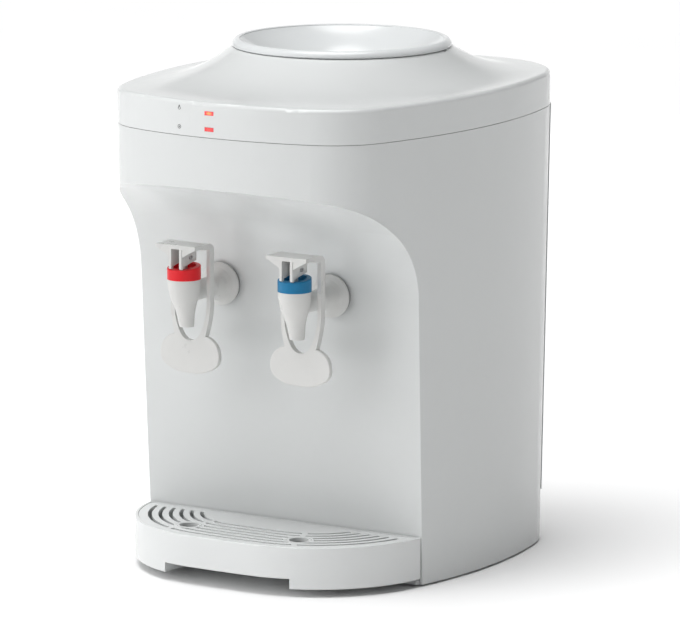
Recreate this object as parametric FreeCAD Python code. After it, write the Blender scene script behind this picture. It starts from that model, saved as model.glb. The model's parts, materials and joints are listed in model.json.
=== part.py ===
import FreeCAD, Part
import math
import os

os.makedirs("parts", exist_ok=True)
V = FreeCAD.Vector

# ---------------------------------------------------------------------------
# Countertop hot / room-temperature water dispenser, bottle on top.
# Millimetres. +Z up, front faces -Y, +X to the right of a person facing it.
# Origin: the middle of the overall box, on the surface that it stands on.
# ---------------------------------------------------------------------------

# housing plan: bowed front, tight front corners, bowed sides, round rear corners
HALF_WIDTH = 132.2
FRONT_Y = -162.3
BACK_Y = 157.3
SIDE_Y = 2.8          # where the sides are widest
FRONT_R = 274.0
CORNER_R = 55.0
SIDE_R = 373.6
REAR_CORNER_R = 78.4
TAPER = 5.9            # how far the housing draws in from the seam to the table
WALL = 2.5
SHELL_BOTTOM = 1.5
SEAM_Z = 330.4

# recess for cups: a leaning wall that sweeps forward into a front ridge
RECESS_FOOT = (-71.4, 37.4)      # (y, z) of the wall at the top of the drip tray
RECESS_LEAN = 2.44               # degrees forward, going up
RECESS_WALL_TOP = 214.8
RECESS_R1 = 66.0
RECESS_A1 = 50.0                 # direction at the end of the first arc, from vertical
RECESS_R2 = 150.0
RECESS_A2 = 74.0

# top cover and bottle ring
SEAM_GAP = 0.4
COVER_TOP = 356.2
COVER_EDGE_R = 3.0
RING_Y = 6.5
RING_R = 81.1
RING_TOP = 384.5
RING_SEAT = 379.0
RING_HOLE_R = 74.6
FLARE_POWER = 2.2

# taps
TAP_X = 48.0
TAP_Y = -130.0
PIPE_Z = 209.3
PIPE_R = 7.4
ROSETTE_R = 15.8
ROSETTE_Y = -84.0
COLLAR_R = 12.3
COLLAR_Z0 = 219.8
COLLAR_Z1 = 229.2
COLLAR_RISE = 3.4
LEVER_TRAVEL = 15.0
PIVOT_DY = -10.0
PIVOT_Z = 229.6
LEVER_TOP = 246.2
LEVER_HALF_W = 17.3
ARM_T = 3.2
ARM_D = 5.2
ARM_DY = 8.4
PIN_RISE = 6.2

# drip tray
TRAY_FRONT = -157.6
TRAY_BACK = -72.2
TRAY_HALF_W = 119.3
TRAY_CORNER_R = 96.0
TRAY_FRONT_R = 900.0
TRAY_Z0 = 5.9
TRAY_Z1 = 36.8
TRAY_WALL = 2.2
GRILLE_T = 2.6
SLOT_W = 3.0
SLOT_PITCH = 7.7
SLOT_COUNT = 6
CUP_HOLE_R = 7.2
BRIDGE_W = 4.0
CUP_HOLE_Y = -124.9

# inside
SHELF_Z = 249.0
TANK_X, TANK_Y, TANK_R = -5.0, 62.0, 46.0
TANK_Z0, TANK_Z1 = 58.0, 150.0
RES_R, RES_Z1 = 66.0, 306.0
HOSE_R, BARB_R, BORE_R = 5.5, 3.8, 2.6
COVER_PROUD = 0.8
REAR_EDGE_Y = 120.0
REAR_FOOT_Z = 37.0
DRAIN_Z = 24.0
GLAND_X, GLAND_Z = 34.0, 24.0
SWITCH_X, SWITCH_Z = 28.0, 78.0
REAR_MAX = 164.5


def save(name, solids):
    """One STEP file: a single solid, or a group of separate identical solids."""
    shape = solids[0] if len(solids) == 1 else Part.makeCompound(solids)
    if not shape.isValid():
        print("INVALID", name)
    count = len(shape.Solids)
    if count != len(solids):
        print("SOLIDS", name, count)
    shape.exportStep("parts/" + name + ".step")


def one(shape):
    """The single solid of a boolean result, cleaned of seams between coplanar faces."""
    shape = shape.removeSplitter()
    solids = sorted(shape.Solids, key=lambda s: -s.Volume)
    if len(solids) != 1:
        print("pieces", [round(s.Volume, 1) for s in solids])
    return solids[0]


def box(x0, x1, y0, y1, z0, z1):
    return Part.makeBox(x1 - x0, y1 - y0, z1 - z0, V(x0, y0, z0))


def rod(p, d, r, length):
    """Cylinder from point p along direction d."""
    return Part.makeCylinder(r, length, V(*p), V(*d))


def ring(p, d, r_out, r_in, length):
    return rod(p, d, r_out, length).cut(rod(p, d, r_in, length))


def revolve(points, centre, z_axis=V(0, 0, 1)):
    """Closed (radius, height) outline turned about the vertical through centre."""
    pts = [V(centre[0] + r, centre[1], z) for r, z in points]
    face = Part.Face(Part.makePolygon(pts + [pts[0]]))
    return face.revolve(V(centre[0], centre[1], 0), z_axis, 360)


def arc_edge(centre, r, a0, a1, z):
    """Arc in a level plane, angles in radians."""
    def at(a):
        return V(centre[0] + r * math.cos(a), centre[1] + r * math.sin(a), z)
    return Part.Arc(at(a0), at((a0 + a1) / 2), at(a1)).toShape()


def tangent_corner(c0, r0, c1, r1, r):
    """Centre of the circle r that touches circles (c0, r0) and (c1, r1) from inside, on their -Y side."""
    d0, d1 = r0 - r, r1 - r
    dx, dy = c1[0] - c0[0], c1[1] - c0[1]
    gap = math.hypot(dx, dy)
    a = (d0 * d0 - d1 * d1 + gap * gap) / (2 * gap)
    h = math.sqrt(d0 * d0 - a * a)
    ex, ey = dx / gap, dy / gap
    return (c0[0] + ex * a - ey * h, c0[1] + ey * a + ex * h)


def angle(c, p):
    return math.atan2(p[1] - c[1], p[0] - c[0])


# centres of the plan's arcs (right half); every inset outline shares them
FRONT_C = (0.0, FRONT_Y + FRONT_R)
SIDE_C = (HALF_WIDTH - SIDE_R, SIDE_Y)
CORNER_C = tangent_corner(FRONT_C, FRONT_R, SIDE_C, SIDE_R, CORNER_R)
REAR_CY = BACK_Y - REAR_CORNER_R
REAR_C = (SIDE_C[0] + math.sqrt((SIDE_R - REAR_CORNER_R) ** 2 - (REAR_CY - SIDE_Y) ** 2), REAR_CY)
A_FRONT = angle(FRONT_C, CORNER_C)
A_SIDE = angle(SIDE_C, CORNER_C)
A_REAR = angle(SIDE_C, REAR_C)


def plan(z, inset=0.0):
    """Closed outline of the housing at height z, drawn in by inset."""
    right = [
        (FRONT_C, FRONT_R, -math.pi / 2, A_FRONT),
        (CORNER_C, CORNER_R, A_FRONT, A_SIDE),
        (SIDE_C, SIDE_R, A_SIDE, A_REAR),
        (REAR_C, REAR_CORNER_R, A_REAR, math.pi / 2),
    ]
    edges = [arc_edge(c, r - inset, a0, a1, z) for c, r, a0, a1 in right]
    back = BACK_Y - inset
    edges.append(Part.LineSegment(V(REAR_C[0], back, z), V(-REAR_C[0], back, z)).toShape())
    for c, r, a0, a1 in reversed(right):
        edges.append(arc_edge((-c[0], c[1]), r - inset, math.pi - a1, math.pi - a0, z))
    return Part.Wire(edges)


def inset_at(z):
    return TAPER * (1 - z / SEAM_Z)


COVER_FACE = BACK_Y - inset_at(SWITCH_Z) + COVER_PROUD
SHELL_FACE = BACK_Y - inset_at(DRAIN_Z)


def body_block(z0, z1, inset=0.0):
    """The housing as a solid block between two heights, drawn in by inset."""
    low = plan(z0, inset_at(z0) + inset)
    high = plan(z1, inset_at(z1) + inset)
    return Part.makeLoft([low, high], True, True)


def prism(wire, z0, z1):
    face = Part.Face(wire)
    face.translate(V(0, 0, z0 - wire.BoundBox.ZMin))
    return face.extrude(V(0, 0, z1 - z0))


def recess_wall_y(z):
    return RECESS_FOOT[0] - math.tan(math.radians(RECESS_LEAN)) * (z - RECESS_FOOT[1])


def recess_block(depth=0.0):
    """Everything in front of the recess surface, moved into the housing by depth."""
    lean = math.radians(RECESS_LEAN)
    a1 = math.radians(RECESS_A1)
    a2 = math.radians(RECESS_A2)

    r1, r2 = RECESS_R1 + depth, RECESS_R2 + depth
    top_y = recess_wall_y(RECESS_WALL_TOP)
    c1 = (top_y - RECESS_R1 * math.cos(lean), RECESS_WALL_TOP - RECESS_R1 * math.sin(lean))
    p0 = (c1[0] + r1 * math.cos(lean), c1[1] + r1 * math.sin(lean))
    k1 = (c1[0] + RECESS_R1 * math.cos(a1), c1[1] + RECESS_R1 * math.sin(a1))
    c2 = (k1[0] - RECESS_R2 * math.cos(a1), k1[1] - RECESS_R2 * math.sin(a1))

    def on(c, r, a):
        return V(-300, c[0] + r * math.cos(a), c[1] + r * math.sin(a))

    foot_z = -10.0
    foot = V(-300, p0[0] + math.tan(lean) * (p0[1] - foot_z), foot_z)
    start = V(-300, *p0)
    mid1 = on(c1, r1, (lean + a1) / 2)
    end1 = on(c1, r1, a1)
    mid2 = on(c2, r2, (a1 + a2) / 2)
    end2 = on(c2, r2, a2)
    run = 80.0
    far = V(-300, end2.y - run * math.sin(a2), end2.z + run * math.cos(a2))
    edges = [
        Part.LineSegment(foot, start).toShape(),
        Part.Arc(start, mid1, end1).toShape(),
        Part.Arc(end1, mid2, end2).toShape(),
        Part.LineSegment(end2, far).toShape(),
        Part.LineSegment(far, V(-300, far.y, foot_z)).toShape(),
        Part.LineSegment(V(-300, far.y, foot_z), foot).toShape(),
    ]
    return Part.Face(Part.Wire(edges)).extrude(V(600, 0, 0))


def route(points, radii):
    """A path of straight runs joined by tangent arcs."""
    pts = [V(*p) for p in points]
    edges = []
    last = pts[0]
    for i in range(1, len(pts) - 1):
        a = (pts[i - 1] - pts[i]).normalize()
        b = (pts[i + 1] - pts[i]).normalize()
        half_turn = (math.pi - a.getAngle(b)) / 2
        reach = radii[i - 1] * math.tan(half_turn)
        p, q = pts[i] + a * reach, pts[i] + b * reach
        bis = (a + b).normalize()
        centre = pts[i] + bis * (radii[i - 1] / math.cos(half_turn))
        mid = centre - bis * radii[i - 1]
        edges.append(Part.LineSegment(last, p).toShape())
        edges.append(Part.Arc(p, mid, q).toShape())
        last = q
    edges.append(Part.LineSegment(last, pts[-1]).toShape())
    return Part.Wire(edges), pts


def tube(name, points, radii, r_out, r_in=0.0):
    """A hose or wire along a route; prints its volume against section times length."""
    wire, pts = route(points, radii)
    start = pts[0]
    head = pts[1] - pts[0]

    def swept(r):
        circle = Part.Wire([Part.Circle(start, head, r).toShape()])
        return wire.makePipeShell([circle], True, True)

    solid = swept(r_out)
    area = math.pi * (r_out ** 2 - r_in ** 2)
    if r_in:
        solid = solid.cut(swept(r_in))
    solid = solid.Solids[0]
    print(name, "radii", radii, "length", round(wire.Length, 1),
          "volume ratio", round(solid.Volume / (area * wire.Length), 4))
    return solid


# ---------------------------------------------------------------------------
# Housing: shell, rear cover, base, feet
# ---------------------------------------------------------------------------
recess = recess_block()
body = body_block(SHELL_BOTTOM, SEAM_Z)
outer_body = one(body.cut(recess))


def shell():
    inner = body_block(SHELL_BOTTOM - 1, SEAM_Z + 1, WALL).cut(recess_block(WALL))
    s = outer_body.cut(inner)
    skin = body_block(REAR_FOOT_Z, SEAM_Z + 1, -5).cut(body_block(REAR_FOOT_Z - 1, SEAM_Z + 2, 1.3))
    s = s.cut(skin.common(box(-200, 200, REAR_EDGE_Y, 200, REAR_FOOT_Z, SEAM_Z + 1)))
    s = s.cut(box(-84, 84, 100, 200, 50, 310))
    for x, z in COVER_SCREWS:
        s = s.cut(rod((x, 140, z), (0, 1, 0), 1.7, 30))
    for sx in (-1, 1):
        s = s.cut(rod((sx * TAP_X, -100, PIPE_Z), (0, 1, 0), 6.6, 60))
    s = s.cut(box(-117.2, 117.2, -76, -60, 0, 5.0))
    s = s.cut(rod((TANK_X, 140, DRAIN_Z), (0, 1, 0), 7.0, 30))
    s = s.cut(rod((GLAND_X, 140, GLAND_Z), (0, 1, 0), 6.0, 30))
    # lugs over the base pan's bosses, for the base screws
    lugs = [box(min(sx * 94, sx * 135), max(sx * 94, sx * 135), y - 5, y + 5, 10.7, 15.2)
            for sx in (-1, 1) for y in (0, 80)]
    lugs.append(box(39, 49, 131, 160, 10.7, 15.2))
    inside = body_block(SHELL_BOTTOM, 20, WALL - 0.5)
    for lug, (x, y) in zip(lugs, [(-100, 0), (-100, 80), (100, 0), (100, 80), (44, 138)]):
        s = s.fuse(lug.common(inside).cut(rod((x, y, 0), (0, 0, 1), 1.6, 30)))
    # ledges that carry the reservoir shelf
    ledge = body_block(SHELF_Z - 9, SHELF_Z - 3, 1.0).cut(body_block(SHELF_Z - 10, SHELF_Z - 2, 9.0))
    for sx in (-1, 1):
        s = s.fuse(ledge.common(box(min(sx * 100, sx * 140), max(sx * 100, sx * 140), 20, 70, 200, 300)))
    return one(s)


def rear_cover():
    skin = body_block(REAR_FOOT_Z + 0.3, SEAM_Z - 0.1, -COVER_PROUD)
    skin = skin.cut(body_block(REAR_FOOT_Z - 1, SEAM_Z + 2, 1.2))
    c = skin.common(box(-200, 200, REAR_EDGE_Y + 0.3, 200, REAR_FOOT_Z, SEAM_Z + 1))
    for row in range(9):
        z = 176 + row * 12
        for x in (-34, 34):
            slot = box(x - 26, x + 26, 140, 175, z, z + 4)
            c = c.cut(slot)
    c = c.cut(box(SWITCH_X - 10.2, SWITCH_X + 10.2, 140, 175, SWITCH_Z - 7.2, SWITCH_Z + 7.2))
    for x, z in COVER_SCREWS:
        c = c.cut(rod((x, 140, z), (0, 1, 0), 1.7, 30))
    return one(c)


COVER_SCREWS = [(x, z) for x in (-40, 40) for z in (43.5, 318)]


def tray_plan(z, inset=0.0, back=TRAY_BACK):
    """Bowed front outline of the tray, cut off straight at the back."""
    fc = (0.0, TRAY_FRONT + TRAY_FRONT_R)
    cx = TRAY_HALF_W - TRAY_CORNER_R
    cy = fc[1] - math.sqrt((TRAY_FRONT_R - TRAY_CORNER_R) ** 2 - cx ** 2)
    cc = (cx, cy)
    a_f = angle(fc, cc)
    r = TRAY_CORNER_R - inset
    a_end = math.asin((back - cy) / r)
    right = [(fc, TRAY_FRONT_R - inset, -math.pi / 2, a_f), (cc, r, a_f, a_end)]
    edges = [arc_edge(c, rr, a0, a1, z) for c, rr, a0, a1 in right]
    x_end = cc[0] + r * math.cos(a_end)
    edges.append(Part.LineSegment(V(x_end, back, z), V(-x_end, back, z)).toShape())
    for c, rr, a0, a1 in reversed(right):
        edges.append(arc_edge((-c[0], c[1]), rr, math.pi - a1, math.pi - a0, z))
    return Part.Wire(edges)


TONGUE_HALF, TONGUE_FRONT, TONGUE_RIB_X = 76.0, -103.0, 66.0
FEET = [(x, y) for x in (-84, 84) for y in (-40, 120)] + [(-60, -91), (60, -91)]
BASE_SCREWS = [(-100, 0), (100, 0), (-100, 80), (100, 80), (44, 138)]
BRACKET_BOLTS = []
for k in range(3):
    turn = math.radians(30 + 120 * k)
    BRACKET_BOLTS.append((TANK_X + 70 * math.cos(turn), TANK_Y + 70 * math.sin(turn)))


def base_pan():
    z0, z1 = SHELL_BOTTOM, SHELL_BOTTOM + 3
    pan = prism(plan(z0, inset_at(0) + WALL + 0.4), z0, z1).cut(box(-200, 200, -300, -73, 0, 10))
    tongue = box(-TONGUE_HALF, TONGUE_HALF, TONGUE_FRONT, -70, z0, z1)
    tongue = tongue.makeFillet(8.0, [e for e in tongue.Edges if e.BoundBox.ZLength > 1 and e.BoundBox.YMax < -90])
    pan = pan.fuse(tongue)
    for x in (-TONGUE_RIB_X, TONGUE_RIB_X):
        pan = pan.fuse(box(x - 2, x + 2, TONGUE_FRONT + 4, -76, z1 - 0.5, TRAY_Z0 - 0.3))
    rim = prism(plan(z0, inset_at(0) + WALL + 0.4), z0, 10.3)
    rim = rim.cut(prism(plan(z0, inset_at(0) + WALL + 2.4), z0 - 1, 13)).cut(box(-200, 200, -300, -40, 0, 20))
    pan = pan.fuse(rim)
    for x, y in FEET:
        pan = pan.cut(rod((x, y, 0), (0, 0, 1), 3.0, 10))
    for x, y in BASE_SCREWS:
        pan = pan.fuse(rod((x, y, z0), (0, 0, 1), 5.0, 9)).cut(rod((x, y, 0), (0, 0, 1), 1.6, 14))
        pan = pan.cut(rod((x, y, 0), (0, 0, 1), 3.1, SHELL_BOTTOM + 2.0))
    for x, y in BRACKET_BOLTS:
        pan = pan.cut(rod((x, y, 0), (0, 0, 1), 1.6, 14))
    for row in range(5):
        pan = pan.cut(box(-40, 40, -56 + row * 9, -52 + row * 9, 0, 10))
    return one(pan)


def foot(x, y):
    pad = rod((x, y, 0), (0, 0, 1), 9.0, SHELL_BOTTOM)
    pad = pad.makeFillet(0.6, [e for e in pad.Edges if e.BoundBox.ZMax < 0.01])
    return one(pad.fuse(rod((x, y, 0.5), (0, 0, 1), 3.0, 4.0)))


def screw(x, y, z, d, r_head, r_shank, length):
    """Pan-head screw: head on the side opposite to d, seated at (x, y, z)."""
    back = [-k for k in d]
    head = rod((x, y, z), back, r_head, 2.0)
    head = head.makeFillet(0.7, [head.Edges[0]])
    slot = 0.8
    tip = V(x, y, z) + V(*back) * 2.0
    cross = box(-slot / 2, slot / 2, -1.6, 1.6, -0.9, 0.1).fuse(box(-1.6, 1.6, -slot / 2, slot / 2, -0.9, 0.1))
    cross.Placement = FreeCAD.Placement(tip, FreeCAD.Rotation(V(0, 0, 1), V(*back)))
    return one(head.fuse(rod((x, y, z), d, r_shank, length)).cut(cross))


# ---------------------------------------------------------------------------
# Top cover and funnel
# ---------------------------------------------------------------------------
LAMPS = [(-3.7, 348.4), (-3.7, 336.8)]     # (x, z) of the two indicator windows
LAMP_W, LAMP_H = 7.8, 3.0
POSTS_X = (-20.0, 12.0)


FLARE_START, FLARE_SINK = 0.3, 0.05


def blended(t, inset, lift):
    """Closed curve between the cover's edge outline (t=0) and the ring seat (t=1)."""
    edge = plan(0, COVER_EDGE_R + FLARE_START + inset).discretize(Number=97)[:-1]
    centre = V(0, RING_Y, 0)
    r_end = RING_R - 0.6 - inset
    z = COVER_TOP + (RING_SEAT - COVER_TOP) * t ** FLARE_POWER + lift
    pts = []
    for p in edge:
        flat = V(p.x, p.y, 0) - centre
        q = flat * (1 - t) + flat * (r_end / flat.Length) * t
        pts.append(V(q.x, q.y + RING_Y, z))
    curve = Part.BSplineCurve()
    curve.interpolate(Points=pts, PeriodicFlag=True)
    return Part.Wire([curve.toShape()])


def flare(inset, lift):
    steps = (0.0, 0.3, 0.55, 0.75, 0.9, 1.0)
    return Part.makeLoft([blended(t, inset, lift) for t in steps], True, False)


def top_cover():
    z0 = SEAM_Z + SEAM_GAP
    band = prism(plan(z0), z0, COVER_TOP)
    edge = [e for e in band.Edges if e.BoundBox.ZMin > COVER_TOP - 0.01]
    band = band.makeFillet(COVER_EDGE_R, edge)
    c = band.cut(prism(plan(z0, WALL), z0 - 1, COVER_TOP - WALL))
    c = c.fuse(flare(0, -FLARE_SINK))
    c = c.cut(flare(WALL, -WALL))
    c = c.cut(rod((0, RING_Y, z0), (0, 0, 1), RING_HOLE_R, 100))
    skirt = prism(plan(z0, WALL + 0.3), SEAM_Z - 7, COVER_TOP - 12)
    skirt = skirt.cut(prism(plan(z0, WALL + 2.1), SEAM_Z - 8, COVER_TOP))
    web = prism(plan(z0, WALL - 0.4), z0 + 5, z0 + 7).cut(prism(plan(z0, WALL + 1.0), z0 + 4, z0 + 8))
    clear = box(-30, 20, -170, -120, SEAM_Z - 10, SEAM_Z + 30)
    c = c.fuse(skirt.cut(clear)).fuse(web.cut(clear))
    for x in POSTS_X:
        c = c.fuse(rod((x, -161.5, 343), (0, 1, 0), 2.5, 9.5))
    for x, z in LAMPS:
        c = c.cut(box(x - LAMP_W / 2, x + LAMP_W / 2, -170, -158, z - LAMP_H / 2, z + LAMP_H / 2))
    # finger notch under the funnel's lip
    c = c.cut(rod((79.0, 23, RING_SEAT - 0.9), (0, 0, 1), 3.2, 6))
    return one(c)


def lamp_window(x, z):
    g = 0.05
    lens = box(x - LAMP_W / 2 + g, x + LAMP_W / 2 - g, FRONT_Y - 0.1, FRONT_Y + 3.4,
               z - LAMP_H / 2 + g, z + LAMP_H / 2 - g)
    flange = box(x - LAMP_W / 2 - 1.2, x + LAMP_W / 2 + 1.2, FRONT_Y + 2.75, FRONT_Y + 4.0,
                 z - LAMP_H / 2 - 1.2, z + LAMP_H / 2 + 1.2)
    return one(lens.fuse(flange))


BOARD_Y = -152.0


def lamp_board():
    b = box(-26, 18, BOARD_Y, BOARD_Y + 1.6, 333, 352)
    for x, z in LAMPS:
        b = b.fuse(box(x - 6, x - 3.2, BOARD_Y + 1.5, BOARD_Y + 2.6, z - 1, z + 1))
    b = b.fuse(box(8, 16, BOARD_Y + 1.5, BOARD_Y + 8, 334, 340))
    return one(b)


def led(x, z):
    body_part = rod((x, BOARD_Y, z), (0, -1, 0), 1.5, 6.0)
    return one(body_part.fuse(rod((x, BOARD_Y, z), (0, -1, 0), 1.9, 1.2)))


FUNNEL_T = 2.4


def bottle_funnel():
    """Dish, neck and floor turned from one outline, with a rounded rim."""
    z_top = RING_TOP
    rim_r, rim_in = 78.2, 75.0
    throat_r, throat_z, neck_z = 30.0, 337.0, 294.0
    skirt_r = 73.5
    c = V(0, RING_Y, 0)

    def at(r, z):
        return V(c.x + r, c.y, z)

    edges = []

    def line(a, b):
        edges.append(Part.LineSegment(at(*a), at(*b)).toShape())

    def arc(a, m, b):
        edges.append(Part.Arc(at(*a), at(*m), at(*b)).toShape())

    low = RING_SEAT + 0.35
    # rim, outside to inside: sloping band, flat top, step into the dish
    band = Part.BSplineCurve()
    band.interpolate([at(*p) for p in ((RING_R, low + 0.9), (RING_R - 0.5, low + 2.4), (rim_r + 0.6, z_top - 0.7),
                                       (rim_r - 0.8, z_top))])
    edges.append(band.toShape())
    line((rim_r - 0.8, z_top), (rim_in + 0.8, z_top))
    arc((rim_in + 0.8, z_top), (rim_in + 0.2, z_top - 0.3), (rim_in, z_top - 0.9))
    # bowl, inner surface
    bowl = Part.BSplineCurve()
    inner = [(rim_in, z_top - 0.9), (69, 379.4), (59, 373.6), (47, 366), (38, 357), (32.5, 346), (throat_r, throat_z - 6)]
    bowl.interpolate([at(*p) for p in inner])
    edges.append(bowl.toShape())
    line((throat_r, throat_z - 6), (28.6, neck_z + FUNNEL_T))
    line((28.6, neck_z + FUNNEL_T), (0, neck_z + FUNNEL_T))
    line((0, neck_z + FUNNEL_T), (0, neck_z))
    line((0, neck_z), (28.6 + FUNNEL_T - 1, neck_z))
    line((28.6 + FUNNEL_T - 1, neck_z), (28.6 + FUNNEL_T, neck_z + 1))
    line((28.6 + FUNNEL_T, neck_z + 1), (throat_r + FUNNEL_T, throat_z - 8))
    shell_curve = Part.BSplineCurve()
    outer = [(throat_r + FUNNEL_T, throat_z - 8), (35, 344.5), (40.2, 355), (48.6, 363.6), (60.2, 371), (68, 375.2),
             (skirt_r, 377.8)]
    shell_curve.interpolate([at(*p) for p in outer])
    edges.append(shell_curve.toShape())
    line((skirt_r, 377.8), (skirt_r, low))
    line((skirt_r, low), (RING_R - 0.8, low))
    arc((RING_R - 0.8, low), (RING_R - 0.2, low + 0.3), (RING_R, low + 0.9))
    face = Part.Face(Part.Wire(Part.__sortEdges__(edges)))
    f = face.revolve(V(0, RING_Y, 0), V(0, 0, 1), 360)
    if f.Volume < 0:
        f.reverse()
    for k in range(6):
        a = math.radians(60 * k + 30)
        f = f.cut(rod((21 * math.cos(a), RING_Y + 21 * math.sin(a), neck_z - 1), (0, 0, 1), 4.0, 6))
    f = f.cut(rod((0, RING_Y, neck_z - 1), (0, 0, 1), 8.0, 6))
    return one(f)


def bottle_spike():
    """Hollow probe with a domed tip and side ports, on a flange inside the neck."""
    z0 = 294.0 + FUNNEL_T
    s = revolve([(0, z0 - 6), (7.8, z0 - 6), (7.8, z0), (13, z0), (13, z0 + 2), (9, z0 + 3), (8.5, z0 + 38),
                 (7.6, z0 + 46), (5.4, z0 + 51), (2.6, z0 + 53.5), (0, z0 + 54)], (0, RING_Y))
    s = s.cut(rod((0, RING_Y, z0 - 8), (0, 0, 1), 5.5, 48))
    for k in range(3):
        a = math.radians(120 * k)
        s = s.cut(rod((0, RING_Y, z0 + 32), (math.cos(a), math.sin(a), 0), 2.5, 20))
    return one(s)


def spike_ring():
    z0 = 294.0 - 0.1
    return ring((0, RING_Y, z0 - 2.4), (0, 0, 1), 10.5, 7.85, 2.4)


# ---------------------------------------------------------------------------
# Drip tray and grille
# ---------------------------------------------------------------------------
NOTCH_X0, NOTCH_X1, NOTCH_TOP, NOTCH_DEPTH = -50.0, 57.0, 13.6, 68.0


def drip_tray():
    t = prism(tray_plan(0), TRAY_Z0, TRAY_Z1)
    ledge_z = TRAY_Z1 - GRILLE_T - 0.4
    top_edges = [e for e in t.Edges if e.BoundBox.ZMin > TRAY_Z1 - 0.01 and e.BoundBox.YMin < TRAY_BACK - 1]
    t = t.makeFillet(0.9, top_edges)
    low_edges = [e for e in t.Edges if e.BoundBox.ZMax < TRAY_Z0 + 0.01 and e.BoundBox.YMin < TRAY_BACK - 1]
    t = t.makeFillet(1.2, low_edges)
    basin = prism(tray_plan(0, 6.5, TRAY_BACK - 6.5), TRAY_Z0 + 2.4, TRAY_Z1 + 1)
    skin = TRAY_WALL
    pocket = box(NOTCH_X0 - skin, NOTCH_X1 + skin, -170, TRAY_FRONT + NOTCH_DEPTH + skin, 0, NOTCH_TOP + skin)
    seat = prism(tray_plan(0, TRAY_WALL, TRAY_BACK - TRAY_WALL), ledge_z, TRAY_Z1 + 1)
    t = t.cut(basin.cut(pocket)).cut(seat)
    notch = box(NOTCH_X0, NOTCH_X1, -170, TRAY_FRONT + NOTCH_DEPTH, 0, NOTCH_TOP)
    return one(t.cut(notch))


def drip_grille():
    z1 = TRAY_Z1 - 0.3
    z0 = z1 - GRILLE_T
    back = TRAY_BACK - TRAY_WALL - 0.35
    g = prism(tray_plan(0, TRAY_WALL + 0.35, back), z0, z1)
    front = box(-200, 200, -300, TRAY_BACK - 10, 0, 100)
    keep = [rod((sx * TAP_X, CUP_HOLE_Y, 0), (0, 0, 1), CUP_HOLE_R + 4.0, 100) for sx in (-1, 1)]
    ribs = []
    for sx in (-1, 1):
        # narrow bridge through each cup hole, square to the tray's outline there
        arc_x = sx * (TRAY_HALF_W - TRAY_CORNER_R)
        lean = math.atan2(sx * TAP_X - arc_x, TRAY_BACK + 10 - CUP_HOLE_Y)
        rib = box(-BRIDGE_W / 2, BRIDGE_W / 2, -60, 60, 0, 100)
        rib.rotate(V(0, 0, 0), V(0, 0, 1), math.degrees(lean))
        rib.translate(V(sx * TAP_X, CUP_HOLE_Y, 0))
        ribs.append(rib)
    for k in range(SLOT_COUNT):
        inset = TRAY_WALL + 7.0 + k * SLOT_PITCH
        slot = prism(tray_plan(0, inset), z0 - 1, z1 + 1).cut(prism(tray_plan(0, inset + SLOT_W), z0 - 2, z1 + 2))
        slot = slot.common(front)
        for block in keep + ribs:
            slot = slot.cut(block)
        g = g.cut(slot)
    for sx in (-1, 1):
        p = (sx * TAP_X, CUP_HOLE_Y, z0 - 1)
        g = g.cut(rod(p, (0, 0, 1), CUP_HOLE_R, 10))
        g = g.cut(ring((sx * TAP_X, CUP_HOLE_Y, z1 - 0.5), (0, 0, 1), CUP_HOLE_R + 2.2, CUP_HOLE_R + 1.6, 2))
    return one(g)


# ---------------------------------------------------------------------------
# Taps: every function takes the tap's x
# ---------------------------------------------------------------------------
CHAMBER_R = 8.0
CHAMBER_Z0, CHAMBER_Z1 = 203.0, COLLAR_Z0 + 1.0
STEM_R = 2.6
PIN_R = 1.2
PRONG_X, PRONG_T = 4.5, 2.0
DIAPHRAGM_Z = 204.2
SPRING_Z0, SPRING_Z1 = 208.1, 223.8


def circle_wire(x, y, z, r):
    return Part.Wire([Part.Circle(V(x, y, z), V(0, 0, 1), r).toShape()])


def tap_body(x):
    # round sections that narrow and drift back towards the spout: height, radius, drift
    sections = [(COLLAR_Z0, 12.1, 0), (213, 11.6, 0), (205, 9.9, 0.5), (197, 7.4, 1.5), (190, 6.1, 2.5),
                (184.3, 5.4, 3.2)]
    b = Part.makeLoft([circle_wire(x, TAP_Y + d, z, r) for z, r, d in sections], True, False)
    b = b.fuse(rod((x, TAP_Y, COLLAR_Z0 - 0.5), (0, 0, 1), 9.6, 4.5))
    # pipe, flared rosette and threaded tail through the wall
    b = b.fuse(rod((x, TAP_Y + 5, PIPE_Z), (0, 1, 0), PIPE_R, ROSETTE_Y - TAP_Y - 6))
    profile = [(0, -98), (PIPE_R, -98), (8.2, -95), (9.4, -91.5), (10.6, -88.8), (12.6, -86.2), (ROSETTE_R - 0.4, -84),
               (ROSETTE_R, -83.6), (ROSETTE_R, -82.0), (0, -82.0)]
    pts = [V(x, y, PIPE_Z + r) for r, y in profile]
    turned = Part.Face(Part.makePolygon(pts + [pts[0]])).revolve(V(x, 0, PIPE_Z), V(0, 1, 0), 360)
    b = b.fuse(turned)
    b = b.fuse(rod((x, -83, PIPE_Z), (0, 1, 0), 6.3, 17.5))
    b = b.fuse(rod((x, -66, PIPE_Z), (0, 1, 0), BARB_R, 14))
    b = b.cut(rod((x, TAP_Y, CHAMBER_Z0), (0, 0, 1), CHAMBER_R, 30))
    b = b.cut(rod((x, TAP_Y + 6, PIPE_Z), (0, 1, 0), BORE_R, 90))
    lean = V(0, 2.9, -20).normalize()
    b = b.cut(rod((x, TAP_Y + 0.4, CHAMBER_Z0 + 1), tuple(lean), 3.4, 24))
    return one(b)


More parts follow.
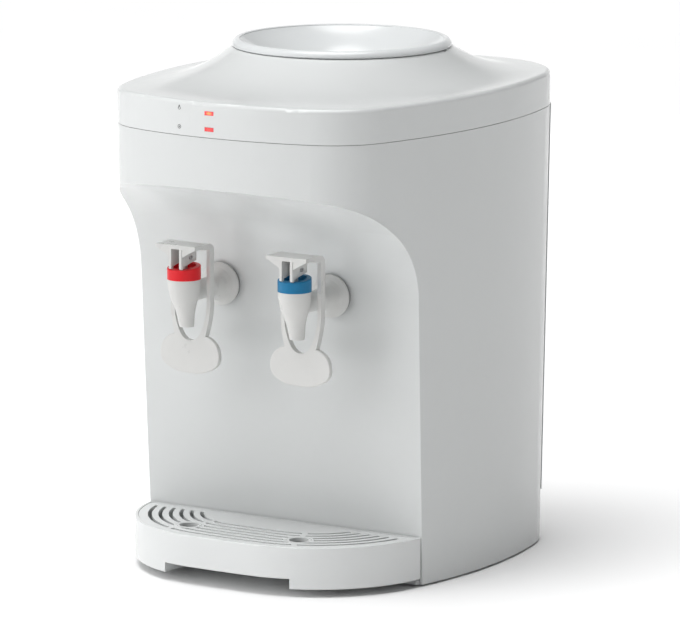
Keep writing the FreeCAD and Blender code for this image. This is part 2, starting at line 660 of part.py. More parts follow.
def tap_collar(x):
    """Coloured cap ring: level underside, top slanting up towards the back."""
    c = rod((x, TAP_Y, COLLAR_Z0 + 0.05), (0, 0, 1), COLLAR_R, 14)
    slant = math.degrees(math.atan2(COLLAR_RISE, 2 * COLLAR_R))
    top = box(-30, 30, -30, 30, 0, 30)
    top.rotate(V(0, 0, 0), V(1, 0, 0), slant)
    top.translate(V(x, TAP_Y, COLLAR_Z1))
    c = c.cut(top)
    rim = [e for e in c.Edges if e.BoundBox.ZMax > COLLAR_Z1 and e.Length > 60]
    c = c.makeFillet(0.8, rim)
    c = c.cut(rod((x, TAP_Y, COLLAR_Z0 - 1), (0, 0, 1), 9.65, 5.3))
    c = c.cut(rod((x, TAP_Y, COLLAR_Z0), (0, 0, 1), STEM_R + 0.08, 20))
    # sunk middle, open towards the lever's prongs
    c = c.cut(rod((x, TAP_Y + 0.5, COLLAR_Z1 - 2.4), (0, 0, 1), 8.6, 20))
    return one(c)


def lever_profile():
    """Side outline (dy, z) of the prongs; the heel at the front is round on the pivot."""
    return [(-11.5, LEVER_TOP - 1), (-11.5, PIVOT_Z), (PIVOT_DY, PIVOT_Z - 0.3), (PIVOT_DY + 1.5, PIVOT_Z + 0.4),
            (8.0, PIVOT_Z + 3.6), (8.0, LEVER_TOP - 1)]


def tap_lever(x):
    """Top plate, two prongs, webs, side arms and finger paddle in one moulding."""
    w = LEVER_HALF_W
    plate = box(-w, w, -11.5, 7.0, LEVER_TOP - 3.0, LEVER_TOP)
    s = plate.makeFillet(0.6, [e for e in plate.Edges if e.BoundBox.ZMin > LEVER_TOP - 0.01])
    for sx in (-1, 1):
        x0 = sx * PRONG_X - PRONG_T / 2
        pts = [V(x0, dy, z) for dy, z in lever_profile()]
        s = s.fuse(Part.Face(Part.makePolygon(pts + [pts[0]])).extrude(V(PRONG_T, 0, 0)))
        s = s.fuse(rod((x0, PIVOT_DY, PIVOT_Z), (1, 0, 0), 1.5, PRONG_T))
        inner = sx * (PRONG_X + PRONG_T / 2 - 0.2)
        web = [V(inner, -10.9, LEVER_TOP - 2.8), V(sx * (w - 1), -10.9, LEVER_TOP - 2.8), V(inner, -10.9, LEVER_TOP - 9)]
        s = s.fuse(Part.Face(Part.makePolygon(web + [web[0]])).extrude(V(0, 1.8, 0)))
        # arm: leaves the plate level, turns down through a rounded corner
        xa = sx * w - (ARM_T if sx > 0 else 0)
        back, bend = ARM_DY + ARM_D, 6.5
        top, low = LEVER_TOP, 205.0
        c = (back - bend, top - bend)
        k = math.sqrt(0.5)
        inner_r = 2.2
        ci = (ARM_DY - inner_r, top - 4.2 - inner_r)
        edge_list = [
            Part.LineSegment(V(xa, 0, top), V(xa, c[0], top)).toShape(),
            Part.Arc(V(xa, c[0], top), V(xa, c[0] + bend * k, c[1] + bend * k), V(xa, back, c[1])).toShape(),
            Part.LineSegment(V(xa, back, c[1]), V(xa, back, low)).toShape(),
            Part.LineSegment(V(xa, back, low), V(xa, ARM_DY, low)).toShape(),
            Part.LineSegment(V(xa, ARM_DY, low), V(xa, ARM_DY, ci[1])).toShape(),
            Part.Arc(V(xa, ARM_DY, ci[1]), V(xa, ci[0] + inner_r * k, ci[1] + inner_r * k),
                     V(xa, ci[0], ci[1] + inner_r)).toShape(),
            Part.LineSegment(V(xa, ci[0], ci[1] + inner_r), V(xa, 0, ci[1] + inner_r)).toShape(),
            Part.LineSegment(V(xa, 0, ci[1] + inner_r), V(xa, 0, top)).toShape(),
        ]
        s = s.fuse(Part.Face(Part.Wire(edge_list)).extrude(V(ARM_T, 0, 0)))
    slot_z = PIVOT_Z + PIN_RISE
    slot_r = PIN_R + 0.3
    y0, y1 = -0.1, 2.1
    slot_edges = [
        Part.LineSegment(V(-10, y0, slot_z - slot_r), V(-10, y1, slot_z - slot_r)).toShape(),
        Part.Arc(V(-10, y1, slot_z - slot_r), V(-10, y1 + slot_r, slot_z), V(-10, y1, slot_z + slot_r)).toShape(),
        Part.LineSegment(V(-10, y1, slot_z + slot_r), V(-10, y0, slot_z + slot_r)).toShape(),
        Part.Arc(V(-10, y0, slot_z + slot_r), V(-10, y0 - slot_r, slot_z), V(-10, y0, slot_z - slot_r)).toShape(),
    ]
    slot = Part.Face(Part.Wire(slot_edges)).extrude(V(20, 0, 0))
    s = one(s.cut(slot)).fuse(paddle()).Solids[0]
    s.translate(V(x, TAP_Y, 0))
    return s


PADDLE_HALF_W, PADDLE_MID_Z, PADDLE_HALF_H = 25.8, 163.3, 14.2
LOOP_BOTTOM_Z, LOOP_LEAN = 173.2, 2.2


def paddle():
    """Lower half of the lever: arms drawing in to a U, and the wide oval finger pad."""
    w = LEVER_HALF_W
    y0 = ARM_DY
    # arms and U as one plate with the loop cut out
    def curve(points):
        b = Part.BSplineCurve()
        b.interpolate([V(px, y0, pz) for px, pz in points])
        return b.toShape()

    top_z = 206.0
    outer = [(w, top_z), (w, 198), (w - 0.9, 190), (w - 2.6, 182), (w - 4.2, 175)]
    frame = [
        Part.LineSegment(V(-w, y0, top_z), V(w, y0, top_z)).toShape(),
        curve(outer),
        Part.LineSegment(V(w - 4.2, y0, 175), V(w - 4.2, y0, PADDLE_MID_Z)).toShape(),
        Part.LineSegment(V(w - 4.2, y0, PADDLE_MID_Z), V(4.2 - w, y0, PADDLE_MID_Z)).toShape(),
        Part.LineSegment(V(4.2 - w, y0, PADDLE_MID_Z), V(4.2 - w, y0, 175)).toShape(),
        curve([(-px, pz) for px, pz in reversed(outer)]),
    ]
    arms = Part.Face(Part.Wire(frame)).extrude(V(0, ARM_D, 0))
    a = w - ARM_T
    hole_edge = [(a, top_z + 1), (a, 198), (a - 1.1, 190), (a - 4.0, 181.5), (a - 8.4, 175.2), (0, LOOP_BOTTOM_Z)]
    hole_pts = hole_edge + [(-px, pz) for px, pz in reversed(hole_edge[:-1])]
    loop = [curve(hole_pts), Part.LineSegment(V(-a, y0, top_z + 1), V(a, y0, top_z + 1)).toShape()]
    loop_face = Part.Face(Part.Wire(loop))
    loop_face.translate(V(0, -2, 0))
    arms = arms.cut(loop_face.extrude(V(0, ARM_D + 4, 0)))
    # pad: flat-bottomed oval from four tangent arcs
    hw, mz, hh = PADDLE_HALF_W, PADDLE_MID_Z, PADDLE_HALF_H
    flat = 9.0
    b = Part.BSplineCurve()
    ring_pts = [(-flat, mz - hh + 0.4), (0, mz - hh), (flat, mz - hh + 0.4), (hw - 7.5, mz - hh + 3.4), (hw - 1.2, mz - 6),
                (hw, mz + 1), (hw - 2.4, mz + 8), (hw - 9.0, mz + hh - 1.0), (hw - 14.5, mz + hh), (0, mz + hh - 4.4)]
    mirror = [(-px, pz) for px, pz in ring_pts[3:-1]]
    b.interpolate(Points=[V(px, y0, pz) for px, pz in ring_pts + list(reversed(mirror))], PeriodicFlag=True)
    pad = Part.Face(Part.Wire([b.toShape()])).extrude(V(0, 4.0, 0))
    pad = pad.makeFillet(0.9, [e for e in pad.Edges if e.BoundBox.YLength < 0.01])
    pad = pad.cut(loop_face.extrude(V(0, ARM_D + 4, 0)))
    low = arms.fuse(pad)
    low.rotate(V(0, ARM_DY, 212), V(1, 0, 0), -LOOP_LEAN)
    return low


def tap_stem(x):
    """Stem with the pin across its head and the rubber diaphragm's seat at its foot."""
    y = TAP_Y
    s = rod((x, y, DIAPHRAGM_Z + 3.0), (0, 0, 1), STEM_R, COLLAR_Z1 + 3 - DIAPHRAGM_Z - 3.0)
    z_pin = PIVOT_Z + PIN_RISE
    head = box(x - 2.9, x + 2.9, y - 2.4, y + 2.4, COLLAR_Z1 + 2.2, z_pin + 2.6)
    head = head.makeFillet(1.0, [e for e in head.Edges if e.BoundBox.ZMin > z_pin + 2.5])
    s = s.fuse(head).cut(rod((x - 5, y, z_pin), (1, 0, 0), PIN_R, 10))
    s = s.fuse(rod((x, y, DIAPHRAGM_Z + 3.0), (0, 0, 1), 5.5, 0.6))
    return one(s)


def tap_pin(x):
    z_pin = PIVOT_Z + PIN_RISE
    return rod((x - 6.6, TAP_Y, z_pin), (1, 0, 0), PIN_R, 13.2)


def tap_seal(x):
    """Silicone cup on the stem's foot that closes the spout's mouth."""
    z = DIAPHRAGM_Z
    return revolve([(0, z - 0.9), (2.6, z - 0.9), (4.4, z + 0.3), (6.6, z + 1.2), (6.9, z + 3.0), (0, z + 3.0)],
                   (x, TAP_Y))


def tap_spring(x):
    """Compression spring round the stem, between its flange and the cap."""
    wire_r, coil_r = 0.45, 4.3
    height = SPRING_Z1 - SPRING_Z0 - 2 * wire_r
    turns = 5.0
    helix = Part.makeHelix(height / turns, height, coil_r)
    start = V(coil_r, 0, 0)
    profile = Part.Wire([Part.Circle(start, V(0, 1, height / turns / (2 * math.pi * coil_r)), wire_r).toShape()])
    coil = Part.Wire(helix.Edges).makePipeShell([profile], True, True)
    coil.translate(V(x, TAP_Y, SPRING_Z0 + wire_r))
    return coil.Solids[0]


def tap_gasket(x):
    """Thin rubber washer between the rosette and the leaning wall."""
    g = ring((x, -82.0, PIPE_Z), (0, 1, 0), ROSETTE_R - 1.2, 6.35, 8)
    return one(g.cut(outer_body).cut(box(x - 30, x + 30, -77.9, -50, 150, 260)))


def tap_nut(x):
    pts = []
    for k in range(7):
        a = math.radians(60 * k)
        pts.append(V(x + 11.5 * math.cos(a), -75.4, PIPE_Z + 11.5 * math.sin(a)))
    nut = Part.Face(Part.makePolygon(pts)).extrude(V(0, 6.0, 0))
    nut = nut.common(Part.makeCone(10.6, 13.6, 3, V(x, -75.4, PIPE_Z), V(0, 1, 0)).fuse(
        Part.makeCone(13.6, 10.6, 3, V(x, -72.4, PIPE_Z), V(0, 1, 0))))
    return one(nut.cut(rod((x, -90, PIPE_Z), (0, 1, 0), 6.35, 30)))


# ---------------------------------------------------------------------------
# Inside: shelf, reservoir, hot tank, hoses, wiring
# ---------------------------------------------------------------------------
FEED_COLD = (TAP_X, -14.0)
FEED_HOT = (52.0, 34.0)
HOT_OUT = (-40.0, 50.0)
VENT = (10.0, 100.0)
JACKET_IN, JACKET_OUT, JACKET_TOP = 51.0, 61.0, 162.0
THERMO = (14.0, 46.0)
CUTOUT = (-12.0, 86.0)


def port(p, d, length):
    """Hose tail with a through bore."""
    return rod(p, d, BARB_R, length)


def reservoir_shelf():
    s = body_block(SHELF_Z - 3, SHELF_Z, WALL + 1.5).common(box(-200, 200, 15, 75, 200, 300))
    s = s.fuse(box(-80, 80, -50, 75, SHELF_Z - 3, SHELF_Z))
    s = s.cut(rod((0, RING_Y, SHELF_Z - 10), (0, 0, 1), 61.0, 20))
    for x in (-75, 70):
        s = s.fuse(box(x, x + 5, 20, 70, SHELF_Z - 12, SHELF_Z - 2.9))
    s = s.cut(rod((86, 62, SHELF_Z - 20), (0, 0, 1), HOSE_R + 2, 40))
    return one(s)


def reservoir():
    c = (0, RING_Y)
    z0, z1 = SHELF_Z, RES_Z1
    r = revolve([(0, z0 - 4), (60, z0 - 4), (60, z0), (RES_R, z0), (RES_R, z1 - 2.5), (RES_R + 5, z1 - 2.5),
                 (RES_R + 5, z1), (0, z1)], c)
    r = r.cut(revolve([(0, z0 - 1.6), (57.6, z0 - 1.6), (57.6, z0 + 2.4), (RES_R - 2.4, z0 + 2.4), (RES_R - 2.4, z1 + 1),
                       (0, z1 + 1)], c))
    for x, y in (FEED_COLD, FEED_HOT):
        r = r.fuse(port((x, y, z0 - 3), (0, 0, -1), 15)).cut(rod((x, y, z0 + 5), (0, 0, -1), BORE_R, 40))
    wall_y = RING_Y + math.sqrt(RES_R ** 2 - VENT[0] ** 2)
    r = r.fuse(port((VENT[0], wall_y - 1.2, 290), (0, 1, 0), 11)).cut(rod((VENT[0], wall_y - 6, 290), (0, 1, 0), BORE_R, 40))
    return one(r)


def reservoir_seal():
    z = RES_Z1
    return revolve([(32.6, z), (RES_R + 5, z), (RES_R + 5, z + 2.5), (36, z + 2.5), (35, z + 5), (32.6, z + 5)],
                   (0, RING_Y))


def hot_tank():
    x, y = TANK_X, TANK_Y
    t = rod((x, y, TANK_Z0), (0, 0, 1), TANK_R, TANK_Z1 - TANK_Z0)
    t = t.makeFillet(5.0, [t.Edges[0], t.Edges[2]])
    t = t.cut(rod((x, y, TANK_Z0 + 1.5), (0, 0, 1), TANK_R - 1.5, TANK_Z1 - TANK_Z0 - 3))
    for px, py in (HOT_OUT, VENT):
        t = t.fuse(port((px, py, TANK_Z1 - 0.8), (0, 0, 1), 28)).cut(rod((px, py, TANK_Z1 - 3), (0, 0, 1), BORE_R, 40))
    t = t.fuse(port((x + TANK_R - 1.2, y, 74), (1, 0, 0), 32)).cut(rod((x + TANK_R - 4, y, 74), (1, 0, 0), BORE_R, 40))
    t = t.fuse(port((x, y, TANK_Z0 + 0.8), (0, 0, -1), 14)).cut(rod((x, y, TANK_Z0 + 3), (0, 0, -1), BORE_R, 40))
    return one(t)


def tank_jacket():
    x, y = TANK_X, TANK_Y
    j = ring((x, y, TANK_Z0), (0, 0, 1), JACKET_OUT, JACKET_IN, TANK_Z1 + 4 - TANK_Z0)
    j = j.fuse(ring((x, y, TANK_Z1 + 3.9), (0, 0, 1), JACKET_OUT, 1.0, JACKET_TOP - TANK_Z1 - 3.9))
    for px, py in (HOT_OUT, VENT):
        j = j.cut(rod((px, py, TANK_Z1), (0, 0, 1), BARB_R + 0.6, 40))
    for px, py in (THERMO, CUTOUT):
        j = j.cut(rod((px, py, TANK_Z1), (0, 0, 1), 10.0, 40))
    j = j.cut(rod((x + TANK_R, y, 74), (1, 0, 0), BARB_R + 0.6, 40))
    j = j.cut(box(x - 11, x + 11, y - 70, y - 45, 80, 106))
    return one(j)


def heater_band():
    x, y = TANK_X, TANK_Y
    b = ring((x, y, 84), (0, 0, 1), TANK_R + 3.5, TANK_R + 0.05, 26)
    b = b.cut(box(x - 3, x + 3, y - 60, y - 40, 80, 115))
    for sx in (-1, 1):
        b = b.fuse(box(x + sx * 4.5 - 1.5, x + sx * 4.5 + 1.5, y - 58, y - 46, 86, 104))
    b = b.cut(rod((x - 10, y - 55, 95), (1, 0, 0), 1.6, 20))
    return one(b)


def band_bolt():
    x, y = TANK_X, TANK_Y - 55
    return one(rod((x - 8.5, y, 95), (1, 0, 0), 1.55, 16).fuse(rod((x - 8.6, y, 95), (1, 0, 0), 3.0, 2.4)).fuse(
        rod((x + 6.1, y, 95), (1, 0, 0), 3.0, 2.4)))


def thermostat(p, reset):
    x, y = p
    z = TANK_Z1
    t = rod((x, y, z), (0, 0, 1), 8.0, 5.0).fuse(rod((x, y, z + 4.9), (0, 0, 1), 6.5, 7.0))
    for sx in (-1, 1):
        t = t.fuse(box(x + sx * 4 - 0.4, x + sx * 4 + 0.4, y - 3, y + 3, z + 11.5, z + 19))
    if reset:
        t = t.fuse(rod((x, y, z + 11), (0, 0, 1), 1.6, 3.5))
    return one(t)


def tank_bracket():
    """Round tray under the tank on three bent legs."""
    x, y = TANK_X, TANK_Y
    t = 1.5
    b = ring((x, y, TANK_Z0 - t), (0, 0, 1), JACKET_OUT, 12.0, t)
    for cx, cy in BRACKET_BOLTS:
        a = math.degrees(math.atan2(cy - y, cx - x))
        leg = box(JACKET_OUT - 6, JACKET_OUT - 6 + t, -10, 10, 4.6, TANK_Z0 - t / 2)
        foot_plate = box(JACKET_OUT - 6, JACKET_OUT + 15, -10, 10, 4.55, 4.55 + t)
        foot_plate = foot_plate.cut(rod((70, 0, 0), (0, 0, 1), 1.9, 10))
        leg = leg.fuse(foot_plate)
        leg.rotate(V(0, 0, 0), V(0, 0, 1), a)
        leg.translate(V(x, y, 0))
        b = b.fuse(leg)
    return one(b)


# wire routes (points) and hose routes (points and bend radii)
WIRES = {
    "lamp_lead": [(12, -143.9, 337), (12, -112, 337), (-45, -92, 316), (-86, -40, 270), (-86, -4, 205),
                  (-86, -2, 130), (-86, 0, 60), (-86, 14, 24), (-86, 36, 12), (-86, 49.9, 12)],
    "heater_lead": [(-9.5, 3.9, 95), (-9.5, -13, 95), (-34, -22, 66), (-66, 0, 30), (-80, 24, 12), (-80, 49.9, 12)],
    "switch_lead": [(28, COVER_FACE - 22.1, SWITCH_Z), (28, 121, SWITCH_Z), (8, 127, 52), (-50, 120, 40), (-84, 100, 24),
                    (-84, 84, 12), (-84, 68.1, 12)],
}
WIRE_R = 1.6
HOSES = {
    "hose_cold_feed": ([(TAP_X, -14, 236), (TAP_X, -14, PIPE_Z), (TAP_X, -54, PIPE_Z)], [20]),
    "hose_hot_feed": ([(52, 34, 236), (52, 34, 216), (92, 62, 188), (92, 62, 74), (60, 62, 74)], [24, 28, 18]),
    "hose_hot_outlet": ([(-40, 50, 165), (-40, 50, PIPE_Z), (-48, -10, PIPE_Z), (-48, -54, PIPE_Z)], [30, 150]),
    "hose_vent": ([(10, 100, 166), (10, 100, 290), (10, 73.2, 290)], [18]),
    "hose_drain": ([(-5, 62, 54), (-5, 62, DRAIN_Z), (-5, 134, DRAIN_Z)], [18]),
}


def bend_radii(points):
    """Bends as large as the runs beside them allow."""
    pts = [V(*p) for p in points]
    radii = []
    for a, b, c in zip(pts, pts[1:], pts[2:]):
        turn = (b - a).getAngle(c - b)
        radii.append(round(0.45 * min((b - a).Length, (c - b).Length) / math.tan(turn / 2), 1))
    return radii


def hose_clip(p, d):
    """Spring band round a hose end."""
    c = ring(p, d, HOSE_R + 1.0, HOSE_R + 0.05, 4.0)
    return c


CLIPS = [
    ((TAP_X, -14, 231), (0, 0, 1)), ((TAP_X, -60, PIPE_Z), (0, 1, 0)),
    ((52, 34, 231), (0, 0, 1)), ((68.5, 62, 74), (1, 0, 0)),
    ((-40, 50, 168), (0, 0, 1)), ((-48, -60, PIPE_Z), (0, 1, 0)),
    ((10, 100, 168), (0, 0, 1)), ((10, 76, 290), (0, 1, 0)),
    ((-5, 62, 46), (0, 0, 1)), ((-5, 130, DRAIN_Z), (0, 1, 0)),
]


def terminal_block():
    t = box(-112, -70, 50, 68, 4.6, 18)
    t = t.makeFillet(1.0, [e for e in t.Edges if e.BoundBox.ZMin > 17.9])
    for k in range(4):
        x = -106.5 + k * 10.3
        t = t.cut(rod((x, 55, 12), (0, 0, 1), 2.2, 10)).cut(rod((x, 63, 12), (0, 0, 1), 2.2, 10))
    return one(t)


# ---------------------------------------------------------------------------
# Rear: switch, cord gland, drain
# ---------------------------------------------------------------------------


def switch_frame():
    x, z, y = SWITCH_X, SWITCH_Z, COVER_FACE
    f = box(x - 12, x + 12, y + 0.3, y + 2.6, z - 9, z + 9)
    f = f.makeFillet(0.8, [e for e in f.Edges if e.BoundBox.YMin > y + 2.5])
    f = f.fuse(box(x - 10, x + 10, y - 14, y + 1, z - 7, z + 7))
    f = f.cut(box(x - 8.2, x + 8.2, y - 5, y + 5, z - 5.6, z + 5.6))
    for k in (-5, 0, 5):
        f = f.fuse(box(x + k - 0.4, x + k + 0.4, y - 22, y - 13.5, z - 2.4, z + 2.4))
    return one(f)


def rocker():
    """Rocker cap: pivots about the vertical through its round back."""
    x, z, y = SWITCH_X, SWITCH_Z, COVER_FACE
    pts = [V(x - 6.7, y + 4.4, 0), V(x, y + 2.4, 0), V(x + 6.8, y + 3.4, 0), V(x + 7.0, y + 0.4, 0),
           V(x + 2.4, y - 2.2, 0), V(x - 2.4, y - 2.2, 0), V(x - 7.0, y + 0.9, 0)]
    r = Part.Face(Part.makePolygon(pts + [pts[0]])).extrude(V(0, 0, 10.4))
    r.translate(V(0, 0, z - 5.2))
    r = r.fuse(rod((x, y - 0.6, z - 5.2), (0, 0, 1), 2.4, 10.4))
    return one(r)


def cord_gland():
    x, z, y = GLAND_X, GLAND_Z, SHELL_FACE
    g = rod((x, y + 0.3, z), (0, 1, 0), 8.5, 2.4)
    g = g.fuse(Part.makeCone(7.4, 5.6, 3.6, V(x, y + 2.4, z), V(0, 1, 0)))
    g = g.fuse(rod((x, y - 12, z), (0, 1, 0), 5.8, 13.0))
    return one(g.cut(rod((x, y - 20, z), (0, 1, 0), 3.6, 40)))


def gland_nut():
    x, z, y = GLAND_X, GLAND_Z, SHELL_FACE - WALL
    pts = [V(x + 9 * math.cos(math.radians(60 * k)), y - 5.4, z + 9 * math.sin(math.radians(60 * k))) for k in range(7)]
    nut = Part.Face(Part.makePolygon(pts)).extrude(V(0, 5.0, 0))
    return one(nut.cut(rod((x, y - 10, z), (0, 1, 0), 5.85, 20)))


def drain_spout():
    x, z, y = TANK_X, DRAIN_Z, SHELL_FACE
    s = rod((x, y - 20, z), (0, 1, 0), BARB_R, 14).fuse(rod((x, y - 7, z), (0, 1, 0), 10.0, 4.0))
    s = s.fuse(rod((x, y - 3.5, z), (0, 1, 0), 6.8, 8.5))
    return one(s.cut(rod((x, y - 40, z), (0, 1, 0), BORE_R, 60)))


def drain_cap():
    x, z, y = TANK_X, DRAIN_Z, SHELL_FACE
    length = REAR_MAX - (y + 0.4)
    c = rod((x, y + 0.4, z), (0, 1, 0), 11.0, length)
    c = c.makeFillet(1.2, [e for e in c.Edges if e.BoundBox.YMin > REAR_MAX - 0.1])
    c = c.cut(rod((x, y - 1, z), (0, 1, 0), 6.87, 6.5))
    for k in range(12):
        a = math.radians(30 * k)
        c = c.cut(rod((x + 11.6 * math.cos(a), y, z + 11.6 * math.sin(a)), (0, 1, 0), 1.3, length - 1.6))
    return one(c)


def drain_washer():
    x, z, y = TANK_X, DRAIN_Z, SHELL_FACE
    return ring((x, y + 5.1, z), (0, 1, 0), 6.7, 2.2, 0.35)


# ---------------------------------------------------------------------------
# Write every sub-part
# ---------------------------------------------------------------------------
save("housing_shell", [shell()])
save("rear_cover", [rear_cover()])
save("base_pan", [base_pan()])
save("rubber_feet", [foot(x, y) for x, y in FEET])
save("top_cover", [top_cover()])
save("lamp_window_heating", [lamp_window(*LAMPS[0])])
save("lamp_window_warm", [lamp_window(*LAMPS[1])])
save("lamp_board", [lamp_board()])
save("lamp_leds", [led(x, z) for x, z in LAMPS])
save("bottle_funnel", [bottle_funnel()])
save("bottle_spike", [bottle_spike()])
save("spike_ring", [spike_ring()])
save("drip_tray", [drip_tray()])
save("drip_grille", [drip_grille()])

for side, x in (("hot", -TAP_X), ("cold", TAP_X)):
    save(side + "_tap_body", [tap_body(x)])
    save(side + "_tap_collar", [tap_collar(x)])
    save(side + "_tap_lever", [tap_lever(x)])
    save(side + "_tap_stem", [tap_stem(x)])
    save(side + "_tap_pin", [tap_pin(x)])
    save(side + "_tap_seal", [tap_seal(x)])
    save(side + "_tap_spring", [tap_spring(x)])
save("tap_gaskets", [tap_gasket(x) for x in (-TAP_X, TAP_X)])
save("tap_nuts", [tap_nut(x) for x in (-TAP_X, TAP_X)])

save("reservoir_shelf", [reservoir_shelf()])
save("reservoir", [reservoir()])
save("reservoir_seal", [reservoir_seal()])
save("hot_tank", [hot_tank()])
save("tank_jacket", [tank_jacket()])
save("heater_band", [heater_band()])
save("band_bolt", [band_bolt()])
save("control_thermostat", [thermostat(THERMO, False)])
save("safety_cutout", [thermostat(CUTOUT, True)])
save("tank_bracket", [tank_bracket()])
for name, (points, radii) in HOSES.items():
    save(name, [tube(name, points, radii, HOSE_R, BARB_R + 0.03)])
for name, points in WIRES.items():
    save(name, [tube(name, points, bend_radii(points), WIRE_R)])
save("hose_clips", [hose_clip(p, d) for p, d in CLIPS])
save("terminal_block", [terminal_block()])

save("switch_frame", [switch_frame()])
save("switch_rocker", [rocker()])
save("cord_gland", [cord_gland()])
save("gland_nut", [gland_nut()])
save("drain_spout", [drain_spout()])
save("drain_cap", [drain_cap()])
save("drain_washer", [drain_washer()])

save("rear_cover_screws", [screw(x, BACK_Y - inset_at(z) + COVER_PROUD + 0.1, z, (0, -1, 0), 3.2, 1.55, 9)
                           for x, z in COVER_SCREWS])
save("base_screws", [screw(x, y, SHELL_BOTTOM + 2.0, (0, 0, 1), 3.0, 1.55, 10) for x, y in BASE_SCREWS])
save("bracket_bolts", [screw(x, y, 6.1, (0, 0, -1), 3.2, 1.5, 4.4) for x, y in BRACKET_BOLTS])
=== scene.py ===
import json
import math

import bmesh
import bpy
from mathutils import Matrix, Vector


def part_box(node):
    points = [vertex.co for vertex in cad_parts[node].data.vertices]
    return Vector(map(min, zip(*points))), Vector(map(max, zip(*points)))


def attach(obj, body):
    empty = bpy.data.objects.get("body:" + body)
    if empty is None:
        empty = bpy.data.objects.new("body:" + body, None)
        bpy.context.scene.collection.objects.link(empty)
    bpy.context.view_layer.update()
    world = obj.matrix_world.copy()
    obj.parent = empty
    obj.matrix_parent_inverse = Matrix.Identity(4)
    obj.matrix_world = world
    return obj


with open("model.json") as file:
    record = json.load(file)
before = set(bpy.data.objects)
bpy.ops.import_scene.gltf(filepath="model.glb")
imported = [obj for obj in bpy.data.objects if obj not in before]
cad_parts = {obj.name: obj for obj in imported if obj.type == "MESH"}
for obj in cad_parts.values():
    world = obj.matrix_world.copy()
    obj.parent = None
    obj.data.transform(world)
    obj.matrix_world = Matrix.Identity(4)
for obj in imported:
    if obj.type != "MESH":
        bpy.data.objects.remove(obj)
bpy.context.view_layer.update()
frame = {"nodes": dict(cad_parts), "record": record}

NODES = frame["nodes"]
scene = bpy.context.scene


# ---------------------------------------------------------------- node helpers
class Graph:
    """A material's node graph, with Object coordinates in metres."""

    def __init__(self, name):
        self.mat = bpy.data.materials.new(name)
        self.mat.use_nodes = True
        self.t = self.mat.node_tree
        self.t.nodes.clear()
        self.out = self.t.nodes.new("ShaderNodeOutputMaterial")
        self.bsdf = self.t.nodes.new("ShaderNodeBsdfPrincipled")
        self.t.links.new(self.bsdf.outputs[0], self.out.inputs[0])
        self.coord = self.t.nodes.new("ShaderNodeTexCoord").outputs["Object"]

    def set(self, **values):
        for key, value in values.items():
            self.bsdf.inputs[key.replace("_", " ")].default_value = value

    def link(self, a, b):
        self.t.links.new(a, b)

    def colour(self, socket):
        self.link(socket, self.bsdf.inputs["Base Color"])

    def gloss(self, socket):
        self.link(socket, self.bsdf.inputs["Roughness"])

    def stretched(self, x, y, z):
        m = self.t.nodes.new("ShaderNodeMapping")
        m.inputs["Scale"].default_value = (x, y, z)
        self.link(self.coord, m.inputs["Vector"])
        return m.outputs[0]

    def noise(self, scale, detail=2.0, rough=0.5, vector=None):
        n = self.t.nodes.new("ShaderNodeTexNoise")
        n.inputs["Scale"].default_value = scale
        n.inputs["Detail"].default_value = detail
        n.inputs["Roughness"].default_value = rough
        self.link(vector or self.coord, n.inputs["Vector"])
        return n.outputs["Fac"]

    def wave(self, scale, direction="Z", distortion=0.0, vector=None):
        n = self.t.nodes.new("ShaderNodeTexWave")
        n.bands_direction = direction
        n.inputs["Scale"].default_value = scale
        n.inputs["Distortion"].default_value = distortion
        self.link(vector or self.coord, n.inputs["Vector"])
        return n.outputs["Fac"]

    def cells(self, scale):
        n = self.t.nodes.new("ShaderNodeTexVoronoi")
        n.inputs["Scale"].default_value = scale
        self.link(self.coord, n.inputs["Vector"])
        return n.outputs["Distance"]

    def map(self, value, low, high, a=0.3, b=0.7):
        n = self.t.nodes.new("ShaderNodeMapRange")
        n.inputs["From Min"].default_value = a
        n.inputs["From Max"].default_value = b
        n.inputs["To Min"].default_value = low
        n.inputs["To Max"].default_value = high
        self.link(value, n.inputs["Value"])
        return n.outputs[0]

    def math(self, op, a, b):
        n = self.t.nodes.new("ShaderNodeMath")
        n.operation = op
        for i, v in enumerate((a, b)):
            if isinstance(v, (int, float)):
                n.inputs[i].default_value = v
            else:
                self.link(v, n.inputs[i])
        return n.outputs[0]

    def mix(self, fac, a, b):
        n = self.t.nodes.new("ShaderNodeMix")
        n.data_type = "RGBA"
        if isinstance(fac, (int, float)):
            n.inputs[0].default_value = fac
        else:
            self.link(fac, n.inputs[0])
        for i, v in ((6, a), (7, b)):
            if isinstance(v, tuple):
                n.inputs[i].default_value = (*v, 1.0)
            else:
                self.link(v, n.inputs[i])
        return n.outputs[2]

    def bumps(self, *layers):
        """Layers of (height, strength, distance in metres)."""
        last = None
        for height, strength, distance in layers:
            n = self.t.nodes.new("ShaderNodeBump")
            n.inputs["Strength"].default_value = strength
            n.inputs["Distance"].default_value = distance
            self.link(height, n.inputs["Height"])
            if last is not None:
                self.link(last, n.inputs["Normal"])
            last = n.outputs[0]
        self.link(last, self.bsdf.inputs["Normal"])


def shade(c, k):
    return tuple(min(1.0, v * k) for v in c)


def toward(azimuth, elevation):
    """Unit vector in degrees: azimuth 0 points to the front, 90 to the +X side."""
    a, e = math.radians(azimuth), math.radians(elevation)
    return Vector((math.sin(a) * math.cos(e), -math.cos(a) * math.cos(e), math.sin(e)))


def facing(obj, back):
    """Adds obj to the scene, looking along -back."""
    scene.collection.objects.link(obj)
    obj.rotation_mode = "QUATERNION"
    obj.rotation_quaternion = (-back).to_track_quat("-Z", "Y")


